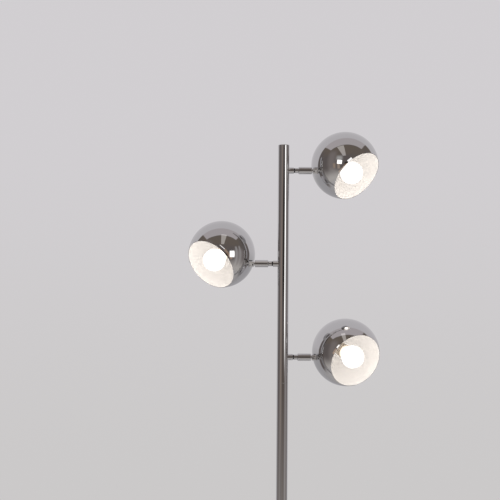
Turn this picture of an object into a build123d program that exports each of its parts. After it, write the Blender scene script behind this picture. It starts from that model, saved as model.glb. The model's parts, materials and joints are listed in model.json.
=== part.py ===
from build123d import *
import os
from math import atan2, cos, pi, radians, sin, sqrt

# Tree floor lamp: a round chromed pole in three screwed lengths on a weighted round base, with
# three short swivel arms. Each arm ends in a hinged knuckle that carries a spherical eyeball shade.
# Millimetres. Z is up, the origin is on the floor under the pole axis, and the front of the lamp,
# the side that the open shades face, is towards -Y. +X is the side of the top and bottom arms.

os.makedirs("parts", exist_ok=True)

# ------------------------------------------------------------------ fits and clearances
running_gap = 0.08  # radial gap between a shaft and the hole that it turns in
seat_gap = 0.05  # gap of a piece that is pushed or screwed home
face_gap = 0.10  # gap between faces that turn past each other
swing_gap = 0.30  # gap between pieces that swing past each other
past = 1.0  # how far a cutting shape runs past what it cuts

# ------------------------------------------------------------------ base
base_radius = 125.0
base_height = 22.0
cover_wall = 1.0
cover_edge_round = 6.0
skirt_lift = 1.0  # the cover's lower edge stands this far off the floor
pad_thickness = 2.0
pad_inset = 1.0  # radial gap between the pad and the inside of the skirt
weight_inset = 4.0  # radial gap between the iron and the inside of the skirt
weight_thickness = 13.0
weight_edge_round = 3.0
hub_radius = 32.0
recess_radius = 18.0  # well in the underside for the clamping nut
channel_width = 10.0
channel_height = 9.0
terminal_width = 17.0
terminal_length = 20.0
terminal_height = 9.0
terminal_distance = 44.0  # from the pole axis to the block's front face
terminal_pocket_gap = 3.0
terminal_pocket_depth = 10.0
terminal_wire_radius = 1.6
terminal_wire_drop = 3.6  # wire hole's axis below the block's top
terminal_screw_radius = 1.9
terminal_screw_inset = 5.6  # screw hole's axis from each end of the block
terminal_screw_depth = 2.7
inlet_height = 8.5  # cable inlet's axis above the floor
inlet_bore_radius = 3.3
inlet_wall = 1.6
inlet_flange_radius = 5.9
inlet_flange_thickness = 1.4

# ------------------------------------------------------------------ pole
pole_radius = 11.0
pole_wall = 1.0
lower_length = 530.0
middle_length = 530.0
first_arm_above_seam = 49.0
arm_spacing = 183.0
tube_above_top_arm = 47.0
cap_rim = 3.0
cap_edge_round = 1.2
cap_plug_length = 12.0
cap_plug_wall = 1.6
insert_length = 15.0
nipple_radius = 5.0  # threaded hollow rod that clamps the lengths together
nipple_bore_radius = 3.5
nipple_short_of_insert = 2.0
clamp_nut_across_flats = 14.0
clamp_nut_thickness = 4.0
clamp_nut_thread_end = 0.5
clamp_washer_radius = 12.0
clamp_washer_thickness = 1.5

# ------------------------------------------------------------------ swivel arm, along its own axis
socket_radius = 6.1
socket_end = 20.1
socket_edge_round = 0.6
washer_radius = 4.5
washer_thickness = 2.0
axle_radius = 3.5
axle_bore_radius = 2.3
axle_end = 38.0
inner_nut_radius = 5.0
inner_nut_start = 5.9
neck_radius = 5.0
neck_length = 6.4
cone_length = 1.4
barrel_radius = 7.1
barrel_wall = 1.5
barrel_end = 55.1
barrel_edge = 0.5
shoulder_depth = 0.5  # barrel's inner shoulder, past the end of the cone
retainer_radius = 5.3
retainer_length = 6.8
groove_radius = 4.1
groove_width = 3.8
stop_lug_width = 1.3
stop_screw_radius = 1.5
stop_screw_sink = 0.2  # how far the screw's outer end lies below the barrel's surface
stop_screw_key_radius = 0.8
stop_screw_key_depth = 1.1

# ------------------------------------------------------------------ knuckle, from its pivot
pivot_reach = 63.0  # pole axis to pivot
ear_radius = 5.2
ear_top = 5.75  # half of the knuckle's height along the hinge axis
knuckle_round = 6.6
fork_neck_radius = 4.0
fork_spigot_length = 5.0
fork_spigot_sink = 0.4
fork_web = 0.8
fork_bore_radius = 2.0
eye_radius = 4.5
tongue_thickness = 3.6
tongue_width = 7.0
pivot_screw_radius = 1.5
pivot_head_radius = 2.9
pivot_head_height = 1.6
pivot_head_sink = 0.2
pivot_nut_across_flats = 5.5
pivot_nut_thickness = 1.8
pivot_nut_sink = 0.45
pivot_key_across_flats = 2.0
pivot_key_depth = 1.0
pivot_to_shade = 8.0  # pivot to the outside of the shade
collar_radius = 6.0
collar_thickness = 1.6
stem_radius = 5.0
stem_bore_radius = 2.2
stem_bore_past_collar = 1.2
stem_past_nut = 0.5
stem_nut_across_flats = 13.0
stem_nut_thickness = 3.5
stem_washer_radius = 8.0
stem_washer_thickness = 0.7

# ------------------------------------------------------------------ shade and what it holds
shade_radius = 67.5
shade_wall = 0.8
opening_half_angle = 54.2  # degrees from the opening's axis to the rim
strap_width = 14.0
strap_thickness = 1.5
strap_above_stem = 8.0
strap_bends = (11.0, 30.0, 47.0)  # degrees round the shade from the stem to each bend
strap_past_holder = 9.0
strap_bend_radius = 3.0
boss_radius = 7.5
holder_radius = 13.0
holder_ring_radius = 13.6
holder_ring_length = 7.0
holder_base_radius = 10.5
holder_base_taper = 5.0
holder_mouth_radius = 8.6
holder_mouth_depth = 5.4
holder_front = -2.0  # along the bulb's axis, from the shade's centre
holder_floor = 4.0  # depth of the nipple's seat in the holder's base
holder_nut_across_flats = 14.0
holder_nut_thickness = 4.0
holder_nipple_bore_radius = 3.0
bulb_radius = 22.5
bulb_length = 78.0
bulb_centre = 23.6  # along the bulb's axis, from the shade's centre
bulb_glass_wall = 0.8
bulb_neck_radius = 7.5
bulb_neck_blend = 12.0
bulb_cap_radius = 6.95
bulb_cap_shell = 20.0
bulb_cap_taper = 3.0
bulb_insulator_radius = 4.8
bulb_contact_radius = 2.3
bulb_contact_height = 2.0
bulb_cap_gap = 0.2  # radial gap between the screw cap and the lampholder
bulb_contact_gap = 0.1

# ------------------------------------------------------------------ wiring
pole_lead_radius = 2.0
pole_lead_height = 5.0  # above the floor, in the base's channel
pole_lead_bend = 8.0
arm_lead_radius = 1.8
arm_lead_end = 48.0
head_lead_radius = 1.5
head_lead_in_stem = 3.5
head_lead_in_holder = 3.0
# route in the shade, (towards the knuckle, along the bulb's axis), from the stem to the holder
head_lead_points = ((46.0, 0.0), (37.0, -16.0), (27.0, -37.0))
head_lead_radii = (12.0, 60.0, 12.0)
sleeve_radius = 3.4
sleeve_length = 16.0

# ------------------------------------------------------------------ arms: side, level and pose
# side is +1 for an arm along +X. pan turns the hinge axis about the arm from upright, bend swings the
# shade backwards from the arm's own line, and turn screws the shade round on its stem. lean tips the
# shade's opening back towards the knuckle, and holder_turn is the lampholder's own turn on the stem.
# All in degrees.
heads = {
    "top": {"side": 1, "level": 2, "pan": 20.9, "bend": 34.5, "turn": 21.3, "lean": 0.0, "holder_turn": 26.2},
    "middle": {"side": -1, "level": 1, "pan": 22.2, "bend": 38.4, "turn": 13.3, "lean": 5.2, "holder_turn": 12.8},
    "bottom": {"side": 1, "level": 0, "pan": 7.9, "bend": 29.2, "turn": 10.0, "lean": 6.7, "holder_turn": 9.2},
}

# ------------------------------------------------------------------ sizes worked out from those
seam_low = base_height + lower_length
seam_high = seam_low + middle_length
top_arm_height = seam_high + first_arm_above_seam + 2 * arm_spacing
upper_end = top_arm_height + tube_above_top_arm
pole_top = upper_end + cap_rim
pole_inside = pole_radius - pole_wall
cover_inside = base_radius - cover_wall
cover_underside = base_height - cover_wall
recess_top = pad_thickness + weight_thickness
clamp_nut_top = recess_top - clamp_washer_thickness
base_nipple_low = clamp_nut_top - clamp_nut_thickness - clamp_nut_thread_end
nipple_hole = nipple_radius + seat_gap
axle_hole = axle_radius + seat_gap

washer_end = socket_end + washer_thickness
neck_start = washer_end + face_gap
cone_start = washer_end + neck_length
barrel_start = cone_start + cone_length
shoulder = barrel_start + shoulder_depth
cavity_radius = barrel_radius - barrel_wall
retainer_start = shoulder + face_gap
retainer_end = retainer_start + retainer_length
groove_middle = (retainer_start + retainer_end) / 2
slot_bottom = -(eye_radius + swing_gap)
fork_back = slot_bottom - fork_web
slot_half = tongue_thickness / 2 + face_gap
pivot_to_centre = pivot_to_shade + shade_radius

shade_inside = shade_radius - shade_wall
stem_hole = stem_radius + running_gap
strap_radius = sqrt(shade_inside**2 - (strap_width / 2) ** 2) - swing_gap - strap_thickness / 2
strap_leg = strap_radius * cos(radians(strap_bends[0]))
strap_plate = -strap_radius * sin(radians(strap_bends[-1]))
strap_leg_inner = strap_leg - strap_thickness / 2
boss_face = sqrt(shade_inside**2 - boss_radius**2) - seat_gap
stem_washer_face = strap_leg_inner - face_gap
stem_nut_face = stem_washer_face - stem_washer_thickness
stem_end = stem_nut_face - stem_nut_thickness - stem_past_nut
holder_base = strap_plate + strap_thickness / 2
holder_nipple_end = holder_base + holder_floor
bulb_contact = bulb_centre + bulb_radius - bulb_length
holder_cavity_radius = bulb_cap_radius + bulb_cap_gap
holder_cavity_floor = bulb_contact - bulb_contact_gap
bulb_insulator = bulb_contact + bulb_contact_height
bulb_cap_low = bulb_insulator + bulb_cap_taper
bulb_cap_top = bulb_cap_low + bulb_cap_shell

along_x = Rot(0, 90, 0)
along_y = Rot(-90, 0, 0)


# ------------------------------------------------------------------ shapes used again and again
def rod(radius, low, high):
    """A round bar about the Z axis from low to high."""
    return Pos(0, 0, low) * Cylinder(radius, high - low, align=(Align.CENTER, Align.CENTER, Align.MIN))


def pipe(radius, bore, low, high):
    """A round tube about the Z axis from low to high."""
    return rod(radius, low, high) - rod(bore, low - past, high + past)


def block(x, y, z):
    """A box between two values on each axis."""
    size = (x[1] - x[0], y[1] - y[0], z[1] - z[0])
    return Pos(x[0], y[0], z[0]) * Box(*size, align=(Align.MIN, Align.MIN, Align.MIN))


def hexagon(across_flats, low, high):
    """A hexagonal bar about the Z axis from low to high."""
    return extrude(Pos(0, 0, low) * RegularPolygon(across_flats / 2, 6, major_radius=False), high - low)


def nut(across_flats, bore, low, high):
    """A hexagonal nut about the Z axis from low to high."""
    return hexagon(across_flats, low, high) - rod(bore, low - past, high + past)


def turned(*points):
    """A solid turned about the Z axis from an outline of (radius, height) points."""
    outline = make_face(Polyline(*[(r, 0, z) for r, z in points], close=True))
    return revolve(outline, Axis.Z, 360)


def rounded_end(solid, radius):
    """The solid with its highest outer edge rounded."""
    return fillet(solid.edges().group_by(Axis.Z)[-1].sort_by(SortBy.LENGTH)[-1], radius)


def write(name, *solids):
    """Writes one node, of one solid or of several separate ones."""
    export_step(solids[0] if len(solids) == 1 else Compound(children=list(solids)), f"parts/{name}.step")


# ------------------------------------------------------------------ places of each arm
def arm_height(head):
    return seam_high + first_arm_above_seam + head["level"] * arm_spacing


def hinge_axis(head):
    """The knuckle's hinge axis, at right angles to the arm."""
    pan = radians(head["pan"])
    return Vector(0, -sin(pan), cos(pan))


def arm_frame(head):
    """On the pole axis at the arm's height, with X along the arm and Z up."""
    return Plane(origin=(0, 0, arm_height(head)), x_dir=(head["side"], 0, 0), z_dir=(0, 0, 1))


def fork_frame(head):
    """At the pivot, with X along the arm and Z along the hinge axis."""
    origin = (head["side"] * pivot_reach, 0, arm_height(head))
    return Plane(origin=origin, x_dir=(head["side"], 0, 0), z_dir=hinge_axis(head))


def stem_direction(head):
    """From the pivot to the shade's centre: always bent towards the back of the lamp."""
    pan, bend = radians(head["pan"]), radians(head["bend"])
    return Vector(head["side"] * cos(bend), sin(bend) * cos(pan), sin(bend) * sin(pan))


def tongue_frame(head):
    """At the pivot, with X along the stem and Z along the hinge axis."""
    return Plane(origin=fork_frame(head).origin, x_dir=stem_direction(head), z_dir=hinge_axis(head))


def shade_frame(head, turn):
    """At the shade's centre, with X back along the stem and Z at right angles to it at that turn."""
    stem, hinge, angle = stem_direction(head), hinge_axis(head), radians(turn)
    level_axis = stem.cross(hinge) * head["side"]
    outwards = level_axis * cos(angle) - hinge * sin(angle)
    centre = fork_frame(head).origin + stem * pivot_to_centre
    return Plane(origin=centre, x_dir=stem * -1, z_dir=outwards)


# ------------------------------------------------------------------ base
def base_cover():
    outside = rounded_end(rod(base_radius, skirt_lift, base_height), cover_edge_round)
    inside = rounded_end(rod(cover_inside, 0, cover_underside), cover_edge_round - cover_wall)
    inlet = Pos(0, 0, inlet_height) * along_y * rod(inlet_hole, cover_inside - cover_edge_round, base_radius + past)
    return outside - inside - rod(nipple_hole, cover_underside - past, base_height + past) - inlet


def base_weight():
    radius = cover_inside - weight_inset
    iron = rounded_end(rod(radius, pad_thickness, recess_top), weight_edge_round)
    iron += rod(hub_radius, pad_thickness, cover_underside)
    iron -= rod(recess_radius, pad_thickness - past, recess_top)
    iron -= rod(nipple_hole, pad_thickness, cover_underside + past)
    half = channel_width / 2
    low = pad_thickness - past
    iron -= block((-half, half), (0, radius + past), (low, pad_thickness + channel_height))
    half = terminal_width / 2 + terminal_pocket_gap
    near = terminal_distance - terminal_pocket_gap
    far = terminal_distance + terminal_length + terminal_pocket_gap
    return iron - block((-half, half), (near, far), (low, terminal_top))


def cable_bush():
    """Rubber bush in the back of the skirt, with a flange on each side of the wall."""
    outer_face = base_radius + seat_gap
    inner_face = sqrt(cover_inside**2 - inlet_flange_radius**2) - seat_gap
    bush = rod(inlet_hole - seat_gap, inner_face, outer_face)
    bush += rod(inlet_flange_radius, inner_face - inlet_flange_thickness, inner_face)
    bush += rounded_end(
        rod(inlet_flange_radius, outer_face, outer_face + inlet_flange_thickness),
        inlet_flange_thickness / 2,
    )
    bush -= rod(inlet_bore_radius, 0, 2 * base_radius)
    return Pos(0, 0, inlet_height) * along_y * bush


def terminal_block():
    """Two-way terminal block under the iron, with a wire hole and a screw head for each way."""
    half = terminal_width / 2
    depth = (terminal_distance, terminal_distance + terminal_length)
    body = block((-half, half), depth, (terminal_top - terminal_height, terminal_top))
    bottom = terminal_top - terminal_height
    for x in (-terminal_width / 4, terminal_width / 4):
        wire_hole = along_y * rod(terminal_wire_radius, depth[0] - past, depth[1] + past)
        body -= Pos(x, 0, terminal_top - terminal_wire_drop) * wire_hole
        for y in (depth[0] + terminal_screw_inset, depth[1] - terminal_screw_inset):
            body -= Pos(x, y, 0) * rod(terminal_screw_radius, bottom - past, bottom + terminal_screw_depth)
    return body


inlet_hole = inlet_bore_radius + inlet_wall + seat_gap
terminal_top = pad_thickness + terminal_pocket_depth
write("base_cover", base_cover())
write("base_weight", base_weight())
write("base_pad", rod(cover_inside - pad_inset, 0, pad_thickness))
write("cable_bush", cable_bush())
write("terminal_block", terminal_block())
base_nipple_high = base_height + insert_length - nipple_short_of_insert
write("base_nipple", pipe(nipple_radius, nipple_bore_radius, base_nipple_low, base_nipple_high))
write("base_washer", pipe(clamp_washer_radius, nipple_hole, clamp_nut_top, recess_top))
clamp_nut_low = clamp_nut_top - clamp_nut_thickness
write("base_nut", nut(clamp_nut_across_flats, nipple_hole, clamp_nut_low, clamp_nut_top))


# ------------------------------------------------------------------ pole
def upper_tube():
    tube = pipe(pole_radius, pole_inside, seam_high, upper_end)
    for head in heads.values():
        tube -= arm_frame(head) * along_x * rod(axle_hole, 0, 2 * pole_radius)
    return tube


def top_cap():
    plug_radius = pole_inside - seat_gap
    cap = rounded_end(rod(pole_radius, upper_end, pole_top), cap_edge_round)
    plug = pipe(plug_radius, plug_radius - cap_plug_wall, upper_end - cap_plug_length, upper_end)
    return cap + plug


def pole_insert(low):
    return pipe(pole_inside - seat_gap, nipple_hole, low, low + insert_length)


write("lower_tube", pipe(pole_radius, pole_inside, base_height, seam_low))
write("middle_tube", pipe(pole_radius, pole_inside, seam_low, seam_high))
write("upper_tube", upper_tube())
write("top_cap", top_cap())
insert_ends = (base_height, seam_low - insert_length, seam_low, seam_high - insert_length, seam_high)
write("tube_inserts", *[pole_insert(low) for low in insert_ends])
nipple_reach = insert_length - nipple_short_of_insert
write(
    "coupling_nipples",
    *[
        pipe(nipple_radius, nipple_bore_radius, seam - nipple_reach, seam + nipple_reach)
        for seam in (seam_low, seam_high)
    ],
)


# ------------------------------------------------------------------ fixed pieces of each arm
def arm_socket():
    """Brazed on the pole: its back is hollowed to the pole's curve."""
    socket = rounded_end(rod(socket_radius, pole_inside, socket_end), socket_edge_round)
    socket = along_x * (socket - rod(axle_hole, 0, socket_end + past))
    return socket - rod(pole_radius + seat_gap, -2 * socket_radius, 2 * socket_radius)


def inner_nut():
    """Screwed on the axle inside the pole: its face is rounded to the pole's inner wall."""
    collar = along_x * pipe(inner_nut_radius, axle_hole, inner_nut_start, pole_radius)
    return collar & rod(pole_inside - seat_gap, -2 * inner_nut_radius, 2 * inner_nut_radius)


def swivel_retainer():
    """Holds the barrel on the axle. The lug in its groove stops the barrel's screw."""
    ring = pipe(retainer_radius, axle_hole, retainer_start, retainer_end)
    half = groove_width / 2
    groove = pipe(retainer_radius + past, groove_radius, groove_middle - half, groove_middle + half)
    lug_half = stop_lug_width / 2
    reach = 2 * retainer_radius
    lug = block((-reach, 0), (-lug_half, lug_half), (retainer_start, retainer_end))
    return along_x * (ring - (groove - lug))


def arm_axle():
    return along_x * pipe(axle_radius, axle_bore_radius, inner_nut_start - seat_gap, axle_end)


def swivel_washer():
    return along_x * pipe(washer_radius, axle_hole, socket_end, washer_end)


def arm_lead():
    return along_x * rod(arm_lead_radius, sleeve_radius + seat_gap, arm_lead_end)


def splice_sleeve():
    half = sleeve_length / 2
    return pipe(sleeve_radius, pole_lead_radius + seat_gap, -half, half)


fixed_pieces = {
    "arm_sockets": arm_socket(),
    "arm_axles": arm_axle(),
    "arm_nuts": inner_nut(),
    "swivel_washers": swivel_washer(),
    "swivel_retainers": swivel_retainer(),
    "arm_leads": arm_lead(),
    "splice_sleeves": splice_sleeve(),
}
for name, piece in fixed_pieces.items():
    write(name, *[arm_frame(head) * piece for head in heads.values()])

lead_end = top_arm_height + sleeve_length / 2
lead_start = (0, terminal_distance - seat_gap, pole_lead_height)
lead_path = FilletPolyline(
    lead_start, (0, 0, pole_lead_height), (0, 0, lead_end), radius=pole_lead_bend
)
write("pole_lead", sweep(Plane(origin=lead_start, z_dir=(0, -1, 0)) * Circle(pole_lead_radius), lead_path))


# ------------------------------------------------------------------ barrel of the arm
def barrel():
    body = turned(
        (axle_radius + running_gap, neck_start),
        (neck_radius, neck_start),
        (neck_radius, cone_start),
        (barrel_radius, barrel_start),
        (barrel_radius, barrel_end - barrel_edge),
        (barrel_radius - barrel_edge, barrel_end),
        (cavity_radius, barrel_end),
        (cavity_radius, shoulder),
        (axle_radius + running_gap, shoulder),
    )
    screw_hole = Pos(groove_middle, 0, 0) * rod(stop_screw_radius + seat_gap, -2 * barrel_radius, 0)
    return along_x * body - screw_hole


def stop_screw():
    """Set screw in the barrel's underside, with its end in the retainer's groove."""
    outer_end = stop_screw_sink - barrel_radius
    screw = rod(stop_screw_radius, outer_end, -(groove_radius + swing_gap))
    key = hexagon(2 * stop_screw_key_radius, outer_end - past, outer_end + stop_screw_key_depth)
    return Pos(groove_middle, 0, 0) * (screw - key)


# ------------------------------------------------------------------ knuckle
def knuckle_fork():
    """Two ears on a neck whose spigot fills the end of the barrel."""
    ears = rod(ear_radius, -ear_top, ear_top)
    ears += block((fork_back, 0), (-ear_radius, ear_radius), (-ear_top, ear_top))
    ears &= along_x * rod(knuckle_round, fork_back, ear_radius + past)
    ears -= block((slot_bottom, ear_radius + past), (-2 * ear_radius, 2 * ear_radius), (-slot_half, slot_half))
    spigot_end = barrel_end - fork_spigot_sink - pivot_reach
    spigot_start = spigot_end - fork_spigot_length
    neck = rod(fork_neck_radius, spigot_start, fork_back) + rod(cavity_radius - seat_gap, spigot_start, spigot_end)
    fork = ears + along_x * neck
    fork -= along_x * rod(fork_bore_radius, spigot_start - past, slot_bottom + past)
    fork -= rod(pivot_screw_radius + seat_gap, -ear_top - past, ear_top + past)
    fork -= rod(pivot_head_radius + seat_gap, pivot_head_low, ear_top + past)
    return fork - hexagon(pivot_nut_across_flats + 2 * seat_gap, -ear_top - past, pivot_nut_top)


def pivot_screw():
    high = ear_top - pivot_head_sink
    screw = rod(pivot_screw_radius, -(ear_top - pivot_nut_sink), pivot_head_low)
    screw += rod(pivot_head_radius, pivot_head_low, high)
    return screw - hexagon(pivot_key_across_flats, high - pivot_key_depth, high + past)


def pivot_nut():
    low = pivot_nut_top - pivot_nut_thickness
    return nut(pivot_nut_across_flats, pivot_screw_radius + seat_gap, low, pivot_nut_top)


def knuckle_tongue():
    """Eye, collar and threaded hollow stem in one piece."""
    half = tongue_thickness / 2
    tongue = rod(eye_radius, -half, half)
    collar_start = pivot_to_shade - collar_thickness
    tongue += block((0, collar_start), (-tongue_width / 2, tongue_width / 2), (-half, half))
    tongue += along_x * rod(collar_radius, collar_start, pivot_to_shade)
    tongue += along_x * rod(stem_radius, collar_start, pivot_to_centre - stem_end)
    tongue -= rod(pivot_screw_radius + running_gap, -eye_radius, eye_radius)
    return tongue - along_x * rod(stem_bore_radius, collar_start - stem_bore_past_collar, pivot_to_centre)


def stem_nut():
    """Nut and washer that hold the shade on the stem, inside the shade."""
    washer_low = pivot_to_centre - stem_washer_face
    nut_low = pivot_to_centre - stem_nut_face
    washer = pipe(stem_washer_radius, stem_radius + seat_gap, washer_low, nut_low)
    fixing = nut(stem_nut_across_flats, stem_radius + seat_gap, nut_low, nut_low + stem_nut_thickness)
    return along_x * washer, along_x * fixing


pivot_head_low = ear_top - pivot_head_sink - pivot_head_height
pivot_nut_top = pivot_nut_sink - ear_top + pivot_nut_thickness


# ------------------------------------------------------------------ shade
def shade(lean):
    """Thin ball, open where the rim cuts it, with a rounded rim and a hole for the stem."""
    angle = radians(opening_half_angle)
    side = radians(opening_half_angle + 180) / 2

    def on_ball(radius, from_opening):
        return (radius * sin(from_opening), 0, radius * cos(from_opening))

    middle = shade_radius - shade_wall / 2
    lip = (
        middle * sin(angle) - shade_wall / 2 * cos(angle),
        0,
        middle * cos(angle) + shade_wall / 2 * sin(angle),
    )
    outline = [
        ThreePointArc((0, 0, -shade_radius), on_ball(shade_radius, side), on_ball(shade_radius, angle)),
        ThreePointArc(on_ball(shade_radius, angle), lip, on_ball(shade_inside, angle)),
        ThreePointArc(on_ball(shade_inside, angle), on_ball(shade_inside, side), (0, 0, -shade_inside)),
        Line((0, 0, -shade_inside), (0, 0, -shade_radius)),
    ]
    ball = Rot(0, lean, 0) * revolve(make_face(outline), Axis.Z, 360)
    return ball - along_x * rod(stem_hole, 0, 2 * shade_radius)


def strap():
    """Bent steel strap from the stem round the shade's inner wall to a plate under the lampholder."""
    bends = [
        (strap_radius * cos(radians(bend)), 0, -strap_radius * sin(radians(bend)))
        for bend in strap_bends
    ]
    start = (strap_leg, 0, strap_above_stem)
    path = FilletPolyline(start, *bends, (-strap_past_holder, 0, strap_plate), radius=strap_bend_radius)
    section = Plane(origin=start, x_dir=(0, 1, 0), z_dir=(0, 0, -1)) * Rectangle(strap_width, strap_thickness)
    bent = sweep(section, path)
    bent += along_x * rod(boss_radius, strap_leg, boss_face)
    bent -= along_x * rod(stem_hole, 0, shade_radius)
    return bent - rod(nipple_hole, strap_plate - strap_thickness, strap_plate + strap_thickness)


def holder_fixing():
    """Short hollow rod and nut that clamp the lampholder on the strap."""
    high = strap_plate - strap_thickness / 2
    low = high - holder_nut_thickness
    fixing = nut(holder_nut_across_flats, nipple_hole, low, high)
    return pipe(nipple_radius, holder_nipple_bore_radius, low, holder_nipple_end - seat_gap), fixing


def lampholder():
    ring_low = holder_front - holder_ring_length
    mouth_low = holder_front - holder_mouth_depth
    body = turned(
        (nipple_hole, holder_base),
        (holder_base_radius, holder_base),
        (holder_radius, holder_base + holder_base_taper),
        (holder_radius, ring_low),
        (holder_ring_radius, ring_low),
        (holder_ring_radius, holder_front),
        (holder_mouth_radius, holder_front),
        (holder_mouth_radius, mouth_low),
        (holder_cavity_radius, mouth_low),
        (holder_cavity_radius, holder_cavity_floor),
        (0, holder_cavity_floor),
        (0, holder_nipple_end),
        (nipple_hole, holder_nipple_end),
    )
    entry = rod(head_lead_radius + seat_gap, holder_radius - head_lead_in_holder, 2 * holder_radius)
    return body - Pos(0, 0, head_lead_points[-1][1]) * along_x * entry


def bulb_outline(radius, neck, blend_centre, blend, top_of_cap):
    """Half of a globe that runs into a straight neck through a hollow curve."""
    touch = atan2(bulb_centre - blend_centre[1], blend_centre[0])  # where the globe meets the hollow curve

    def on_globe(angle):
        return (radius * cos(angle), 0, bulb_centre + radius * sin(angle))

    hollow = (blend_centre[0] - blend * cos(touch / 2), 0, blend_centre[1] + blend * sin(touch / 2))
    return [
        ThreePointArc(on_globe(pi / 2), on_globe(pi / 4), on_globe(0)),
        ThreePointArc(on_globe(0), on_globe(-touch / 2), on_globe(-touch)),
        ThreePointArc(on_globe(-touch), hollow, (neck, 0, blend_centre[1])),
        Line((neck, 0, blend_centre[1]), (neck, 0, top_of_cap)),
        Line((neck, 0, top_of_cap), (0, 0, top_of_cap)),
        Line((0, 0, top_of_cap), (0, 0, bulb_centre + radius)),
    ]


def bulb_globe():
    """Hollow opal glass, open at the neck's end, which stands on the bulb's metal cap."""
    across = bulb_neck_radius + bulb_neck_blend
    blend_centre = (across, bulb_centre - sqrt((bulb_radius + bulb_neck_blend) ** 2 - across**2))
    outside = bulb_outline(bulb_radius, bulb_neck_radius, blend_centre, bulb_neck_blend, bulb_cap_top)
    wall = bulb_glass_wall
    inside = bulb_outline(
        bulb_radius - wall, bulb_neck_radius - wall, blend_centre, bulb_neck_blend + wall, bulb_cap_top - past
    )
    return revolve(make_face(outside), Axis.Z, 360) - revolve(make_face(inside), Axis.Z, 360)


def bulb_cap():
    return turned(
        (0, bulb_contact),
        (bulb_contact_radius, bulb_contact),
        (bulb_contact_radius, bulb_insulator),
        (bulb_insulator_radius, bulb_insulator),
        (bulb_cap_radius, bulb_cap_low),
        (bulb_cap_radius, bulb_cap_top),
        (0, bulb_cap_top),
    )


def head_lead():
    """Lead from the hollow stem to the lampholder's side."""
    start = (stem_end + head_lead_in_stem, 0, 0)
    end = (holder_radius - head_lead_in_holder + seat_gap, 0, head_lead_points[-1][1])
    corners = [(x, 0, z) for x, z in head_lead_points]
    path = FilletPolyline(start, *corners, end, radius=list(head_lead_radii))
    return sweep(Plane(origin=start, z_dir=(-1, 0, 0)) * Circle(head_lead_radius), path)


# ------------------------------------------------------------------ the three heads
barrel_solid, stop_screw_solid = barrel(), stop_screw()
fork_solid, screw_solid, screw_nut_solid = knuckle_fork(), pivot_screw(), pivot_nut()
tongue_solid, stem_fixings = knuckle_tongue(), stem_nut()
strap_solids = (strap(), *holder_fixing())
holder_pieces = {
    "lampholder": lampholder(),
    "bulb_globe": bulb_globe(),
    "bulb_cap": bulb_cap(),
    "head_lead": head_lead(),
}

for name, head in heads.items():
    write(f"{name}_barrel", arm_frame(head) * barrel_solid)
    write(f"{name}_stop_screw", arm_frame(head) * stop_screw_solid)
    write(f"{name}_knuckle_fork", fork_frame(head) * fork_solid)
    write(f"{name}_pivot_screw", *[fork_frame(head) * solid for solid in (screw_solid, screw_nut_solid)])
    write(f"{name}_knuckle_tongue", tongue_frame(head) * tongue_solid)
    write(f"{name}_stem_nut", *[tongue_frame(head) * solid for solid in stem_fixings])
    write(f"{name}_shade", shade_frame(head, head["turn"]) * shade(head["lean"]))
    holder_frame = shade_frame(head, head["holder_turn"])
    write(f"{name}_holder_bracket", *[holder_frame * solid for solid in strap_solids])
    for piece, solid in holder_pieces.items():
        write(f"{name}_{piece}", holder_frame * solid)

print("pole lead bend", pole_lead_bend, "head lead bends", head_lead_radii)
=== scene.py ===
"""Chromed tree floor lamp with three swivelling ball shades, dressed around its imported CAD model."""

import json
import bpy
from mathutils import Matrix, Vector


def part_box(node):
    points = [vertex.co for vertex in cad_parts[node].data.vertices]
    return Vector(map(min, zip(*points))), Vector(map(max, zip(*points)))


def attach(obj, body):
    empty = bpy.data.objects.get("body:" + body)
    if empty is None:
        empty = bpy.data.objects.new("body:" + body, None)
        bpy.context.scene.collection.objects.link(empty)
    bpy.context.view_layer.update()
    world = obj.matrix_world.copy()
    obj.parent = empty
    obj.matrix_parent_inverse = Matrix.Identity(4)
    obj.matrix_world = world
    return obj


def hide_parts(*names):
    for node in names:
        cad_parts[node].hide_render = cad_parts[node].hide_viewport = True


bl_info = {
    "name": "Tree floor lamp",
    "version": (1, 0, 0),
    "blender": (4, 5, 0),
    "location": "View3D > Sidebar > Lamp",
    "description": "Builds the finished look of a tree floor lamp around its CAD model",
    "category": "Object",
}

from collections import namedtuple
from math import acos, cos, hypot, pi, radians, sin, sqrt, tan

import bmesh
import bpy
from bpy.props import FloatProperty, FloatVectorProperty, IntProperty, PointerProperty
from mathutils import Matrix, Vector

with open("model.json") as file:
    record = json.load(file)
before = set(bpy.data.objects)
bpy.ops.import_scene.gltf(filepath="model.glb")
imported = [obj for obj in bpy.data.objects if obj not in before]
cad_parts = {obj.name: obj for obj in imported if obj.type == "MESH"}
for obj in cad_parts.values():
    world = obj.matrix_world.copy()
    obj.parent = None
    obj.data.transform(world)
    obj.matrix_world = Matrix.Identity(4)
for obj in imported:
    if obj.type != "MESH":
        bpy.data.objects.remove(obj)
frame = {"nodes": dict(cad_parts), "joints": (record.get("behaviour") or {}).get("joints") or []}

MM = 0.001
HEADS = ("top", "middle", "bottom")
AT_ORIGIN = Matrix.Identity(4)
UP = Vector((0, 0, 1))

# Sides of the turned shapes, by how large they are
BASE_SIDES, BALL_SIDES, POLE_SIDES, GLOBE_SIDES = 288, 224, 128, 112
SOCKET_SIDES, SMALL_SIDES, INLET_SIDES = 96, 64, 48


# ------------------------------------------------------------------ sizes and colours
def length(name, description, millimetres):
    """A size property that is given in millimetres and kept in metres."""
    metres = millimetres * MM
    return FloatProperty(name=name, description=description, default=metres, unit="LENGTH", precision=5)


def colour(name, description, red, green, blue):
    """A colour property, in linear light."""
    return FloatVectorProperty(
        name=name,
        description=description,
        default=(red, green, blue),
        subtype="COLOR",
        size=3,
        min=0,
        max=1,
    )


def level(name, description, default):
    """A plain number property."""
    return FloatProperty(name=name, description=description, default=default, min=0)


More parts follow.
